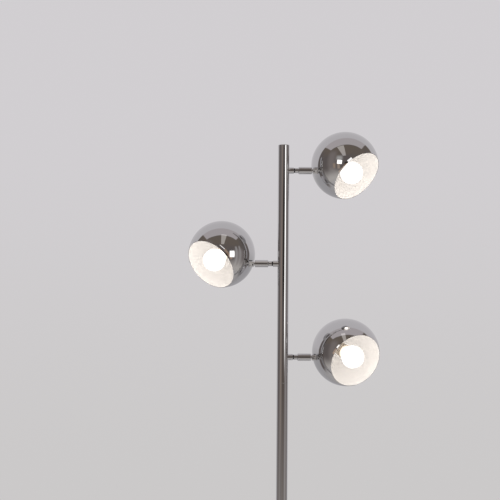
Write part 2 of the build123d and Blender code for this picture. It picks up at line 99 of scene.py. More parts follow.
def number(name, description, default):
    """A whole number property."""
    return IntProperty(name=name, description=description, default=default, min=3)


class PoleSizes(bpy.types.PropertyGroup):
    """Sizes of the base and the pole."""

    tube_wall: length("Tube wall", "Wall of the pole's tubes", 1.0)
    tube_end_edge: length("Tube end edge", "Rounding of a tube's ends, which shows as the seam", 0.25)
    cap_edge: length("Cap edge", "Rounding of the pole cap's upper edge", 1.2)
    cap_rim: length("Cap rim", "Height of the cap above the tube", 3.0)
    cap_plug_wall: length("Cap plug wall", "Wall of the cap's plug inside the tube", 1.6)
    cap_plug_gap: length("Cap plug gap", "Gap between the plug and the tube", 0.05)
    cover_wall: length("Cover wall", "Sheet thickness of the base cover", 1.0)
    cover_edge: length("Cover edge", "Outer rounding of the base cover's upper edge", 6.0)
    cover_hem: length("Cover hem", "Rounding of the cover's lower edge", 0.4)
    nipple_hole: length("Nipple hole", "Radius of the hole in the middle of the cover", 5.05)
    bush_edge: length("Bush edge", "Rounding of the cable bush's edges", 0.3)
    inlet_start: length("Inlet start", "Depth at which the cable inlet's cutter starts", 15.0)
    inlet_length: length("Inlet length", "Length of the cable inlet's cutter", 20.0)
    socket_edge: length("Socket edge", "Rounding of an arm socket's end", 0.6)
    axle_hole: length("Axle hole", "Radius of the hole for an arm's axle", 3.55)


class ArmSizes(bpy.types.PropertyGroup):
    """Sizes along an arm, from the pole's axis."""

    socket_radius: length("Socket radius", "Radius of the fixed socket on the pole", 6.1)
    socket_end: length("Socket end", "Distance of the socket's end", 20.1)
    washer_radius: length("Washer radius", "Radius of the black swivel washer", 4.5)
    washer_end: length("Washer end", "Distance of the washer's end", 22.1)
    neck_radius: length("Neck radius", "Radius of the barrel's neck", 5.0)
    neck_start: length("Neck start", "Distance of the neck's start", 22.2)
    cone_start: length("Cone start", "Distance where the neck widens", 28.5)
    barrel_start: length("Barrel start", "Distance where the barrel has its full radius", 29.9)
    barrel_radius: length("Barrel radius", "Radius of the barrel", 7.1)
    barrel_end: length("Barrel end", "Distance of the barrel's end", 55.1)
    barrel_edge: length("Barrel edge", "Chamfer at the barrel's end", 0.5)
    cavity_radius: length("Cavity radius", "Radius inside the barrel", 5.6)
    shoulder: length("Shoulder", "Distance of the barrel's inner shoulder", 30.4)
    bore: length("Bore", "Radius of the barrel's bore on the axle", 3.58)
    small_round: length("Small round", "Rounding of the small turned edges", 0.3)
    knuckle_edge: length("Knuckle edge", "Rounding of the knuckle's edges", 0.22)
    screw_edge: length("Screw edge", "Rounding of the screws' edges", 0.1)


class HeadSizes(bpy.types.PropertyGroup):
    """Sizes of a shade, and of what it holds from the shade's centre along the bulb's axis."""

    shade_radius: length("Shade radius", "Outer radius of the ball shade", 67.5)
    shade_wall: length("Shade wall", "Sheet thickness of the shade", 0.8)
    coat: length("Enamel coat", "Thickness of the enamel coat inside the shade", 0.05)
    coat_gap: length("Coat gap", "Distance of the coat from the shade's wall", 0.02)
    opening_half_angle: FloatProperty(
        name="Opening half angle",
        description="Angle at the shade's centre from the opening's axis to the rim",
        default=radians(54.2),
        subtype="ANGLE",
    )
    stem_hole: length("Stem hole", "Radius of the hole for the hollow stem", 5.08)
    globe_radius: length("Globe radius", "Radius of the bulb's glass", 22.5)
    globe_centre: length("Globe centre", "Place of the glass ball's centre", 23.6)
    globe_neck: length("Globe neck", "Radius of the glass neck", 7.5)
    globe_blend: length("Globe blend", "Radius of the hollow curve into the neck", 12.0)
    cap_radius: length("Cap radius", "Radius of the bulb's screw cap", 6.95)
    cap_top: length("Cap top", "Place of the screw cap's upper end", -8.9)
    cap_shell: length("Cap shell", "Length of the straight part of the screw cap", 20.0)
    cap_taper: length("Cap taper", "Length of the cap's tapered end", 3.0)
    insulator_radius: length("Insulator radius", "Radius of the cap's insulator", 4.8)
    contact_radius: length("Contact radius", "Radius of the cap's contact", 2.3)
    contact_length: length("Contact length", "Height of the cap's contact", 2.0)
    thread_depth: length("Thread depth", "Radius of the screw cap's thread", 0.45)
    thread_pitch: length("Thread pitch", "Pitch of the screw cap's thread", 2.8)
    holder_front: length("Holder front", "Place of the lampholder's front face", -2.0)
    holder_base: length("Holder base", "Place of the lampholder's base", -47.03)
    holder_taper: length("Holder taper", "Length of the tapered base", 5.0)
    holder_base_radius: length("Holder base radius", "Radius of the lampholder's base", 10.5)
    holder_radius: length("Holder radius", "Radius of the lampholder's body", 13.0)
    holder_ring_radius: length("Ring radius", "Radius over the ribs of the front ring", 13.6)
    holder_ring_length: length("Ring length", "Length of the lampholder's front ring", 7.0)
    holder_mouth_radius: length("Mouth radius", "Radius of the lampholder's mouth", 8.6)
    holder_mouth_depth: length("Mouth depth", "Depth of the lampholder's mouth", 5.4)
    holder_cavity_radius: length("Cavity radius", "Radius of the cavity for the screw cap", 7.15)
    holder_cavity_floor: length("Cavity floor", "Place of the cavity's floor", -32.0)
    holder_nipple_end: length("Nipple end", "Place of the end of the nipple's seat", -43.03)
    rib_radius: length("Rib radius", "Radius of a grip rib of the front ring", 0.45)
    rib_count: number("Rib count", "Number of grip ribs round the front ring", 36)
    bracket_edge: length("Bracket edge", "Rounding of the bent strap's edges", 0.15)


class Finishes(bpy.types.PropertyGroup):
    """Colours and levels of the finishes, the light and the stage."""

    chrome: colour("Chrome", "Polished chrome plating", 0.62, 0.615, 0.62)
    enamel: colour("Enamel", "White enamel inside the shades", 0.92, 0.91, 0.90)
    cream: colour("Cream", "Plastic of the lampholders", 0.52, 0.45, 0.37)
    zinc: colour("Zinc", "Zinc-plated steel", 0.50, 0.51, 0.53)
    glow: colour("Glow", "Light of the bulbs", 1.0, 0.945, 0.89)
    glow_strength: level("Glow strength", "Light that the bulbs' glass gives", 3.6)
    glow_seen: level("Glow seen", "Brightness at which the bulbs' glass shows", 0.92)
    backdrop_low: colour("Backdrop below", "Background below eye level", 0.597, 0.584, 0.584)
    backdrop_high: colour("Backdrop above", "Background above eye level", 0.640, 0.620, 0.640)
    floor: colour("Floor", "Pale floor", 0.74, 0.73, 0.73)
    floor_radius: length("Floor radius", "Radius of the floor", 1500.0)


# ------------------------------------------------------------------ places, from the frame
joints = {j["name"]: (Vector(j["pos_m"]), Vector(j["axis"]).normalized()) for j in frame["joints"]}


def placed(origin, along, across):
    """A matrix whose Z is along and whose X is as near to across as it can be."""
    z = along.normalized()
    y = z.cross(across).normalized()
    x = y.cross(z)
    turned_to = Matrix((x, y, z)).transposed().to_4x4()
    return Matrix.Translation(origin) @ turned_to


def pivot(head):
    """The point on the knuckle's hinge axis."""
    return joints[f"{head}_tilt"][0]


def arm_place(head):
    """At the pole's axis, with Z along the arm."""
    start = joints[f"{head}_swivel"][0]
    return placed(start, pivot(head) - start, UP)


def bulb_place(head):
    """At the shade's centre, with Z out through the bulb and X back along the stem."""
    centre = joints[f"{head}_turn"][0]
    glass = frame["nodes"][f"{head}_bulb_globe"].data.vertices
    crown = max((v.co for v in glass), key=lambda point: (point - centre).length)
    return placed(centre, crown - centre, pivot(head) - centre)


def shade_place(head):
    """At the shade's centre, with Z out through the middle of the opening."""
    sizes = bpy.context.scene.lamp_heads
    centre, wall, radius = joints[f"{head}_turn"][0], sizes.shade_wall, sizes.shade_radius
    skin = 0.05  # share of the wall by which a point of the rim is off both faces of the shell
    hole_reach = 0.9  # share of the radius beyond which a point belongs to the stem's hole
    low, high = radius - wall * (1 - skin), radius - wall * skin
    shell = [v.co - centre for v in frame["nodes"][f"{head}_shade"].data.vertices]
    away = (centre - pivot(head)).normalized()
    rim = [p for p in shell if low < p.length < high and p.dot(away) > -radius * hole_reach]
    first, last = min(rim, key=lambda p: p.dot(away)), max(rim, key=lambda p: p.dot(away))
    third = max(rim, key=lambda p: (p - first).cross(last - first).length)
    outwards = (last - first).cross(third - first)
    return placed(centre, outwards if outwards.dot(first) > 0 else -outwards, pivot(head) - centre)


# ------------------------------------------------------------------ turned shapes
Stretch = namedtuple("Stretch", "start end start_normal end_normal finish")


def along_arc(centre, radius, start, end, steps, outwards=1, finish=0):
    """Stretches along an arc, with angles from the radius axis and normals away from the centre."""
    angles = [start + (end - start) * i / steps for i in range(steps + 1)]
    directions = [Vector((cos(a), sin(a))) for a in angles]
    points = [Vector(centre) + d * radius for d in directions]
    normals = [d * outwards for d in directions]
    return [
        Stretch(points[i], points[i + 1], normals[i], normals[i + 1], finish) for i in range(steps)
    ]


def straight(start, end, finish=0):
    """One straight stretch, with its normal on the right of its direction."""
    start, end = Vector(start), Vector(end)
    run = (end - start).normalized()
    normal = Vector((run.y, -run.x))
    return [Stretch(start, end, normal, normal, finish)]


def outline(*corners, closed=True, steps=6):
    """Stretches round corners of (radius, height) or (radius, height, rounding), anticlockwise."""
    count = len(corners)
    points = [Vector(corner[:2]) for corner in corners]
    entries, exits, rounds = [], [], []
    for i, corner in enumerate(corners):
        here = points[i]
        rounding = corner[2] if len(corner) > 2 else 0
        if not rounding or (not closed and i in (0, count - 1)):
            entries.append(here)
            exits.append(here)
            rounds.append([])
            continue
        before = (here - points[i - 1]).normalized()
        after = (points[(i + 1) % count] - here).normalized()
        bend = before.angle_signed(after)  # clockwise bends count as positive here
        reach = rounding * tan(abs(bend) / 2)
        entry, leave = here - before * reach, here + after * reach
        left = Vector((-before.y, before.x))
        convex = before.x * after.y - before.y * after.x > 0
        centre = entry + left * (rounding if convex else -rounding)
        first, last = entry - centre, leave - centre
        start = Vector((1, 0)).angle_signed(first) * -1
        sweep = abs(bend) * (1 if convex else -1)
        rounds.append(along_arc(centre, rounding, start, start + sweep, steps, 1 if convex else -1))
        entries.append(entry)
        exits.append(leave)
    stretches = []
    for i in range(count if closed else count - 1):
        following = (i + 1) % count
        stretches += straight(exits[i], entries[following])
        stretches += rounds[following]
    return stretches


def turned(name, stretches, place, sides, materials, reshape=None):
    """A mesh object turned about Z from stretches of outline, with exact normals, set in its place."""
    axis_limit = 1e-7
    closed = (stretches[0].start - stretches[-1].end).length < axis_limit
    profile = [s.start for s in stretches] + ([] if closed else [stretches[-1].end])
    vertices, rings = [], []
    rounds = [(cos(2 * pi * j / sides), sin(2 * pi * j / sides)) for j in range(sides)]
    for radius, height in profile:
        if radius < axis_limit:
            rings.append([len(vertices)] * sides)
            vertices.append(Vector((0, 0, height)))
        else:
            rings.append(list(range(len(vertices), len(vertices) + sides)))
            vertices += [Vector((radius * c, radius * s, height)) for c, s in rounds]
    if reshape:
        vertices = [reshape(v) for v in vertices]
    faces, normals, finishes = [], [], []
    turn = place.to_3x3()
    for k, stretch in enumerate(stretches):
        low, high = rings[k], rings[(k + 1) % len(rings)]
        if stretch.start.x < axis_limit and stretch.end.x < axis_limit:
            continue
        for j in range(sides):
            n = (j + 1) % sides
            corners = [(low, j, stretch.start_normal), (low, n, stretch.start_normal)]
            corners += [(high, n, stretch.end_normal), (high, j, stretch.end_normal)]
            if low[j] == low[n]:
                corners.pop(1)
            elif high[j] == high[n]:
                corners.pop(2)
            faces.append([ring[i] for ring, i, _ in corners])
            for _, i, flat in corners:
                normals.append(turn @ Vector((flat.x * rounds[i][0], flat.x * rounds[i][1], flat.y)))
            finishes.append(stretch.finish)
    mesh = bpy.data.meshes.new(name)
    mesh.from_pydata([place @ v for v in vertices], [], faces)
    for material in materials:
        mesh.materials.append(material)
    mesh.polygons.foreach_set("material_index", finishes)
    mesh.shade_smooth()
    if not reshape:
        mesh.normals_split_custom_set(normals)
    mesh.update()
    return shown(name, mesh)


def shown(name, mesh):
    """A new object in the scene that holds the mesh."""
    piece = bpy.data.objects.new(name, mesh)
    bpy.context.scene.collection.objects.link(piece)
    return piece


def settle(piece, body, slot, *nodes):
    """The piece rides on its body and stands for its CAD nodes; the slot argument is not used."""
    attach(piece, body)
    if nodes:
        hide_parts(*nodes)
    return piece


def lathe(name, stretches, place, sides, body, slot, *nodes, reshape=None):
    """A turned piece in its slot's finish, which rides on its body and stands for its CAD nodes."""
    piece = turned(name, stretches, place, sides, [finishes[slot]], reshape)
    return settle(piece, body, slot, *nodes)


def round_bar(radius, low, high, place, sides):
    """A closed round bar about the place's Z, to cut a hole with."""
    bar = outline((0, low), (radius, low), (radius, high), (0, high), closed=False)
    return turned("cutter", bar, place, sides, [finishes["chrome"]])


def plain_mesh(piece, name):
    """The piece with its modifiers worked in, as a new plain mesh object that takes its place."""
    graph = bpy.context.evaluated_depsgraph_get()
    worked_in = piece.evaluated_get(graph)
    mesh = bpy.data.meshes.new_from_object(worked_in, preserve_all_data_layers=True, depsgraph=graph)
    spare = piece.data
    bpy.data.objects.remove(piece)
    if spare.users == 0:
        bpy.data.meshes.remove(spare)
    mesh.name = name
    return shown(name, mesh)


def holed(piece, cutter):
    """The piece with the cutter's shape taken out of it."""
    name = piece.name
    cut = piece.modifiers.new("hole", "BOOLEAN")
    cut.operation = "DIFFERENCE"
    cut.solver = "EXACT"
    cut.object = cutter
    made = plain_mesh(piece, name)
    bpy.data.objects.remove(cutter)
    made.name = name
    return made


def dress(node, body, slot, edge=0):
    """A merged copy of a CAD node with smooth sides and rounded edges, which stands for the node."""
    merge_distance, flat_angle, sharp_angle = 0.5e-6, radians(1.0), radians(32)
    shape = bmesh.new()
    shape.from_mesh(frame["nodes"][node].data)
    bmesh.ops.remove_doubles(shape, verts=shape.verts, dist=merge_distance)
    bmesh.ops.dissolve_limit(shape, angle_limit=flat_angle, verts=shape.verts, edges=shape.edges)
    for face in shape.faces:
        face.smooth = True
        face.material_index = 0
    name = f"{node}_dressed"
    mesh = bpy.data.meshes.new(name)
    shape.to_mesh(mesh)
    shape.free()
    mesh.materials.clear()
    mesh.materials.append(finishes[slot])
    mesh.set_sharp_from_angle(angle=sharp_angle)
    piece = shown(name, mesh)
    if edge:
        bevel = piece.modifiers.new("rounded edges", "BEVEL")
        bevel.width = edge
        bevel.segments = 2
        bevel.limit_method = "ANGLE"
        bevel.angle_limit = sharp_angle
        bevel.harden_normals = True
        piece = plain_mesh(piece, name)
    return settle(piece, body, slot, node)


# ------------------------------------------------------------------ material and light building
def feed(tree, entry, value):
    """Links a reading or a socket to this input, or sets the input to a plain value."""
    if isinstance(value, Reading):
        value = value.socket
    if isinstance(value, bpy.types.NodeSocket):
        tree.links.new(value, entry)
    else:
        entry.default_value = value


def added(tree, kind, inputs=(), **settings):
    """A new node with these settings, and with its inputs fed by name or number."""
    node = tree.nodes.new(kind)
    for name, value in settings.items():
        setattr(node, name, value)
    for key, value in dict(inputs).items():
        feed(tree, node.inputs[key], value)
    return node


class Reading:
    """A number that changes over a surface or over directions, put together from math nodes."""

    def __init__(self, tree, socket):
        self.tree, self.socket = tree, socket

    def worked(self, operation, *others):
        """The result of a math node on this reading and the others."""
        values = dict(enumerate((self, *others)))
        node = added(self.tree, "ShaderNodeMath", values, operation=operation)
        return Reading(self.tree, node.outputs[0])

    def __add__(self, other):
        return self.worked("ADD", other)

    def __sub__(self, other):
        return self.worked("SUBTRACT", other)

    def __mul__(self, other):
        return self.worked("MULTIPLY", other)

    def over(self, low, high):
        """0 below low and 1 above high, or the other way round where low is the higher one."""
        ends = (low, high, 0, 1) if low < high else (high, low, 1, 0)
        values = dict(zip(("From Min", "From Max", "To Min", "To Max"), ends), Value=self)
        node = added(self.tree, "ShaderNodeMapRange", values, interpolation_type="SMOOTHSTEP")
        return Reading(self.tree, node.outputs[0])

    def within(self, low, high, soft):
        """1 between low and high, running out to 0 over a soft edge."""
        return self.over(low - soft, low + soft) * self.over(high + soft, high - soft)


def painted(tree, below, tint, mask):
    """A colour vector laid over another one where the mask is 1."""
    mask_input, below_input, tint_input, result = 0, 4, 5, 1
    values = {mask_input: mask, below_input: below, tint_input: tint}
    return added(tree, "ShaderNodeMix", values, data_type="VECTOR").outputs[result]


def new_group(name, inputs, outputs):
    """An empty shader node group with inputs of (name, kind, default) and outputs of (name, kind)."""
    tree = bpy.data.node_groups.new(name, "ShaderNodeTree")
    for label, kind, default in inputs:
        socket = tree.interface.new_socket(label, in_out="INPUT", socket_type=kind)
        if default is not None:
            socket.default_value = default
    for label, kind in outputs:
        tree.interface.new_socket(label, in_out="OUTPUT", socket_type=kind)
    return tree, tree.nodes.new("NodeGroupInput"), tree.nodes.new("NodeGroupOutput")


def noise(tree, scale, detail, coordinates, stretch=(1, 1, 1)):
    """A noise texture on stretched coordinates, as a reading."""
    mapping = added(tree, "ShaderNodeMapping", {"Vector": coordinates, "Scale": stretch})
    values = {"Vector": mapping.outputs[0], "Scale": scale, "Detail": detail}
    return Reading(tree, added(tree, "ShaderNodeTexNoise", values).outputs["Fac"])


def polish_group():
    """Polished plating: slow ripple, fine wipe marks and a little settled dust."""
    tree, given, result = new_group(
        "Polished plating",
        [
            ("Vector", "NodeSocketVector", None),
            ("Roughness", "NodeSocketFloat", 0.03),
            ("Wipe Marks", "NodeSocketFloat", 0.03),
            ("Dust", "NodeSocketFloat", 0.1),
            ("Surface", "NodeSocketColor", (0.6, 0.6, 0.6, 1)),
        ],
        [("Color", "NodeSocketColor"), ("Roughness", "NodeSocketFloat"), ("Height", "NodeSocketFloat")],
    )
    ripple_scale, wipe_scale, dust_scale = 14.0, 60.0, 2600.0
    wipe_stretch, dust_tint = (1.0, 1.0, 7.0), (0.42, 0.40, 0.38)
    vector = given.outputs["Vector"]
    wipes = noise(tree, wipe_scale, 3.0, vector, wipe_stretch).over(0.52, 0.72)
    normal = added(tree, "ShaderNodeNewGeometry").outputs["Normal"]
    upwards = Reading(tree, added(tree, "ShaderNodeSeparateXYZ", {0: normal}).outputs["Z"])
    specks = noise(tree, dust_scale, 2.0, vector).over(0.60, 0.74)
    dust = upwards.over(0.55, 0.98) * specks * given.outputs["Dust"]
    rough = wipes * given.outputs["Wipe Marks"] + given.outputs["Roughness"] + dust
    feed(tree, result.inputs["Roughness"], rough)
    feed(tree, result.inputs["Height"], noise(tree, ripple_scale, 1.0, vector))
    feed(tree, result.inputs["Color"], painted(tree, given.outputs["Surface"], dust_tint, dust))
    return tree


def grain_group():
    """Moulded or cast surface: even grain with slightly uneven colour."""
    tree, given, result = new_group(
        "Fine grain",
        [
            ("Vector", "NodeSocketVector", None),
            ("Scale", "NodeSocketFloat", 900.0),
            ("Unevenness", "NodeSocketFloat", 0.1),
            ("Surface", "NodeSocketColor", (0.6, 0.6, 0.6, 1)),
        ],
        [("Color", "NodeSocketColor"), ("Height", "NodeSocketFloat")],
    )
    blotch_scale = 45.0
    vector = given.outputs["Vector"]
    spread = (noise(tree, blotch_scale, 2.0, vector) - 0.5) * given.outputs["Unevenness"] + 1.0
    values = {0: given.outputs["Surface"], "Scale": spread}
    shade = added(tree, "ShaderNodeVectorMath", values, operation="SCALE")
    feed(tree, result.inputs["Color"], shade.outputs[0])
    feed(tree, result.inputs["Height"], noise(tree, given.outputs["Scale"], 3.0, vector))
    return tree


def straight_mirrored(tree):
    """1 for what polished metal shows to the eye, and 0 for what it throws on a matt surface."""
    path = added(tree, "ShaderNodeLightPath")
    direct = Reading(tree, path.outputs["Diffuse Depth"]).worked("LESS_THAN", 0.5)
    return direct * path.outputs["Is Glossy Ray"]


def new_material(name):
    """A new material, with its node tree and its principled shader."""
    material = bpy.data.materials.new(name)
    material.use_nodes = True
    return material, material.node_tree, material.node_tree.nodes["Principled BSDF"]


finishes = {}


def finish(name, tint, roughness, group, values, relief, **sockets):
    """A finish whose group of surface effects works on Object coordinates."""
    material, tree, shader = new_material(name)
    for label, value in sockets.items():
        shader.inputs[label.replace("_", " ")].default_value = value
    place = added(tree, "ShaderNodeTexCoord").outputs["Object"]
    values = {"Vector": place, "Surface": (*tint, 1), **values}
    effects = added(tree, "ShaderNodeGroup", node_tree=group)
    if "Roughness" in effects.inputs:
        values["Roughness"] = roughness
        roughness = effects.outputs["Roughness"]
    for label, value in values.items():
        feed(tree, effects.inputs[label], value)
    values = {"Strength": 1.0, "Distance": relief, "Height": effects.outputs["Height"]}
    feed(tree, shader.inputs["Roughness"], roughness)
    feed(tree, shader.inputs["Base Color"], effects.outputs["Color"])
    feed(tree, shader.inputs["Normal"], added(tree, "ShaderNodeBump", values).outputs[0])
    finishes[name] = material


def make_finishes():
    """Every material of the lamp, by the name of its material slot or of the piece that has it."""
    look = bpy.context.scene.lamp_finishes
    polish, grain = polish_group(), grain_group()
    for name, tint, roughness, wipes, dust, relief in (
        ("chrome", tuple(look.chrome), 0.03, 0.03, 0.10, 0.00004),
        ("nickel", (0.55, 0.52, 0.48), 0.16, 0.08, 0.0, 0.00003),
    ):
        finish(name, tint, roughness, polish, {"Wipe Marks": wipes, "Dust": dust}, relief, Metallic=1.0)
    for name, tint, roughness, scale, unevenness, relief, sockets in (
        ("zinc_steel", tuple(look.zinc), 0.32, 1400.0, 0.25, 0.00002, {"Metallic": 1.0}),
        ("blackened_steel", (0.05, 0.05, 0.055), 0.40, 1400.0, 0.2, 0.00002, {"Metallic": 1.0}),
        ("enamel", tuple(look.enamel), 0.60, 30.0, 0.02, 0.00001, {"Specular_IOR_Level": 0.0}),
        ("cream_plastic", tuple(look.cream), 0.42, 900.0, 0.06, 0.00002, {}),
        ("lead_sheath", (0.74, 0.73, 0.70), 0.45, 900.0, 0.05, 0.00002, {}),
        ("cast_iron", (0.10, 0.098, 0.095), 0.75, 420.0, 0.5, 0.00035, {"Metallic": 0.6}),
        ("eva_foam", (0.035, 0.035, 0.037), 0.90, 1100.0, 0.2, 0.00018, {}),
        ("black_rubber", (0.02, 0.02, 0.021), 0.60, 1500.0, 0.2, 0.00003, {}),
        ("nylon", (0.012, 0.012, 0.013), 0.45, 1500.0, 0.1, 0.00002, {}),
        ("splice_plastic", (0.55, 0.42, 0.22), 0.45, 900.0, 0.1, 0.00002, {}),
        ("clear_plastic", (0.80, 0.84, 0.84), 0.15, 900.0, 0.05, 0.00002, {"Transmission_Weight": 0.6}),
        ("opal_glass", (0.38, 0.375, 0.36), 0.18, 300.0, 0.02, 0.00001, {}),
    ):
        values = {"Scale": scale, "Unevenness": unevenness}
        finish(name, tint, roughness, grain, values, relief, **sockets)
    light_up(finishes["opal_glass"], look)


def light_up(material, look):
    """Lets the glass light what is round it, and show to the eye at a plain white."""
    tree = material.node_tree
    shader = tree.nodes["Principled BSDF"]
    given, shown_at = Vector(look.glow), Vector((1, 1, 1)) * (look.glow_seen / look.glow_strength)
    seen = added(tree, "ShaderNodeLightPath").outputs["Is Camera Ray"]
    feed(tree, shader.inputs["Emission Strength"], look.glow_strength)
    feed(tree, shader.inputs["Emission Color"], painted(tree, given, shown_at, seen))


# ------------------------------------------------------------------ base and pole
def make_base():
    """The cover of the base with its cable inlet, and the cable bush."""
    s = bpy.context.scene.lamp_pole
    low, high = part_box("base_cover")
    radius, wall = high.x, s.cover_wall
    cover = outline(
        (s.nipple_hole, high.z - wall),
        (radius - wall, high.z - wall, s.cover_edge - wall),
        (radius - wall, low.z, wall / 3),
        (radius, low.z, s.cover_hem),
        (radius, high.z, s.cover_edge),
        (s.nipple_hole, high.z),
        steps=16,
    )
    cover = turned("base_cover_dressed", cover, AT_ORIGIN, BASE_SIDES, [finishes["chrome"]])
    low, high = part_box("cable_bush")
    inlet_share = 0.84  # of the bush's width
    start = Vector((0, high.y - s.inlet_start, (low.z + high.z) / 2))
    back = placed(start, Vector((0, 1, 0)), Vector((1, 0, 0)))
    inlet = round_bar((high.x - low.x) / 2 * inlet_share, 0, s.inlet_length, back, INLET_SIDES)
    settle(holed(cover, inlet), "root", "chrome", "base_cover")
    dress("cable_bush", "root", "black_rubber", s.bush_edge)


def make_pole():
    """The three tubes, the cap, the arm sockets and the black swivel washers."""
    s, a = bpy.context.scene.lamp_pole, bpy.context.scene.lamp_arms
    for node in ("lower_tube", "middle_tube", "upper_tube"):
        low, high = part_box(node)
        inside = high.x - s.tube_wall
        tube = outline(
            (inside, low.z),
            (high.x, low.z, s.tube_end_edge),
            (high.x, high.z, s.tube_end_edge),
            (inside, high.z),
        )
        lathe(f"{node}_dressed", tube, AT_ORIGIN, POLE_SIDES, "root", "chrome", node)
    low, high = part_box("top_cap")
    radius, rim = high.x, high.z - s.cap_rim
    plug = radius - s.tube_wall - s.cap_plug_gap
    cap = outline(
        (plug - s.cap_plug_wall, low.z),
        (plug, low.z, s.cap_plug_gap * 4),
        (plug, rim),
        (radius, rim, s.tube_end_edge),
        (radius, high.z, s.cap_edge),
        (0, high.z),
        (0, rim),
        (plug - s.cap_plug_wall, rim),
        steps=10,
    )
    lathe("top_cap_dressed", cap, AT_ORIGIN, POLE_SIDES, "root", "chrome", "top_cap")
    tube_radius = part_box("upper_tube")[1].x

    def saddle(point):
        """Brings the socket's back onto the round of the pole."""
        if point.z > tube_radius:
            return point
        return Vector((point.x, point.y, sqrt(tube_radius**2 - point.y**2)))

    socket = outline(
        (s.axle_hole, 0),
        (a.socket_radius, 0),
        (a.socket_radius, tube_radius + s.socket_edge),
        (a.socket_radius, a.socket_end, s.socket_edge),
        (s.axle_hole, a.socket_end),
    )
    washer = outline(
        (s.axle_hole, a.socket_end),
        (a.washer_radius, a.socket_end),
        (a.washer_radius, a.washer_end),
        (s.axle_hole, a.washer_end),
    )
    for head in HEADS:
        place, name = arm_place(head), f"{head}_socket_dressed"
        ends = ("root", "chrome", "arm_sockets")
        piece = lathe(name, socket, place, SOCKET_SIDES, *ends, reshape=saddle)
        piece.data.set_sharp_from_angle(angle=radians(40))
        lathe(f"{head}_washer_dressed", washer, place, SMALL_SIDES, "root", "nylon", "swivel_washers")


# ------------------------------------------------------------------ arms and knuckles
def make_arms():
    """The barrels with their stop screws, and the forks with their pivot screws."""
    a = bpy.context.scene.lamp_arms
    barrel = outline(
        (a.bore, a.neck_start),
        (a.neck_radius, a.neck_start, a.small_round),
        (a.neck_radius, a.cone_start, a.small_round),
        (a.barrel_radius, a.barrel_start, a.small_round),
        (a.barrel_radius, a.barrel_end - a.barrel_edge, a.small_round / 2),
        (a.barrel_radius - a.barrel_edge, a.barrel_end, a.small_round / 3),
        (a.cavity_radius, a.barrel_end),
        (a.cavity_radius, a.shoulder),
        (a.bore, a.shoulder),
    )
    for head in HEADS:
        body, node = f"{head}_arm", f"{head}_barrel"
        lathe(f"{node}_dressed", barrel, arm_place(head), POLE_SIDES, body, "chrome", node)
        dress(f"{head}_stop_screw", body, "blackened_steel", a.screw_edge)
        dress(f"{head}_knuckle_fork", body, "chrome", a.knuckle_edge)
        dress(f"{head}_pivot_screw", body, "blackened_steel", a.screw_edge)


def make_knuckles():
    """The tongues with their hollow stems, and the nuts that hold the shades on them."""
    a = bpy.context.scene.lamp_arms
    for head in HEADS:
        dress(f"{head}_knuckle_tongue", f"{head}_knuckle", "chrome", a.knuckle_edge)
        dress(f"{head}_stem_nut", f"{head}_knuckle", "zinc_steel", a.screw_edge)


# ------------------------------------------------------------------ shades and bulbs
def ball_shell(name, head, radius, wall, materials):
    """A ball shell with a rounded rim round its opening and the stem's hole in its side."""
    h = bpy.context.scene.lamp_heads
    inside, middle, inner_side = radius - wall, radius - wall / 2, len(materials) - 1
    rim_angle = pi / 2 - h.opening_half_angle  # up from the plane through the centre
    rim_centre = Vector((middle * cos(rim_angle), middle * sin(rim_angle)))
    shell_steps, rim_steps = 100, 8
    ball = along_arc((0, 0), radius, -pi / 2, rim_angle, shell_steps)
    ball += along_arc(rim_centre, wall / 2, rim_angle, rim_angle + pi, rim_steps)
    ball += along_arc((0, 0), inside, rim_angle, -pi / 2, shell_steps, -1, inner_side)
    place = shade_place(head)
    centre, axis = place.translation, place.to_3x3().col[2]
    stem = placed(centre, pivot(head) - centre, axis)
    piece = turned(name, ball, place, BALL_SIDES, materials)
    piece = holed(piece, round_bar(h.stem_hole, radius / 2, radius * 1.2, stem, SMALL_SIDES))
    true_ball_normals(piece.data, centre, axis, rim_centre, (radius, inside), wall)
    return piece


def make_shades():
    """The ball shades, and the enamel that lies in them as a coat of its own."""
    h = bpy.context.scene.lamp_heads
    chrome, enamel = finishes["chrome"], finishes["enamel"]
    coat_radius = h.shade_radius - h.shade_wall - h.coat_gap
    for head in HEADS:
        body, name = f"{head}_head", f"{head}_shade_dressed"
        shade = ball_shell(name, head, h.shade_radius, h.shade_wall, [chrome, enamel])
        settle(shade, body, "chrome", f"{head}_shade")
        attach(ball_shell(f"{head}_enamel_dressed", head, coat_radius, h.coat, [enamel]), body)


def true_ball_normals(mesh, centre, axis, rim_centre, radii, wall):
    """Gives the shell exact normals again after the stem's hole was cut."""
    near = wall / 100
    normals = []
    for face in mesh.polygons:
        distances = [(mesh.vertices[i].co - centre).length for i in face.vertices]
        outer = all(abs(d - radii[0]) < near for d in distances)
        inner = all(abs(d - radii[1]) < near for d in distances)
        for i in face.vertices:
            from_centre = mesh.vertices[i].co - centre
            if outer:
                normals.append(from_centre.normalized())
            elif inner:
                normals.append(-from_centre.normalized())
            else:
                height = from_centre.dot(axis)
                across = from_centre - axis * height
                on_rim = across.normalized() * rim_centre.x + axis * rim_centre.y
                off = from_centre - on_rim
                normals.append(off.normalized() if off.length < wall else Vector((0, 0, 0)))
    mesh.shade_smooth()
    mesh.normals_split_custom_set(normals)


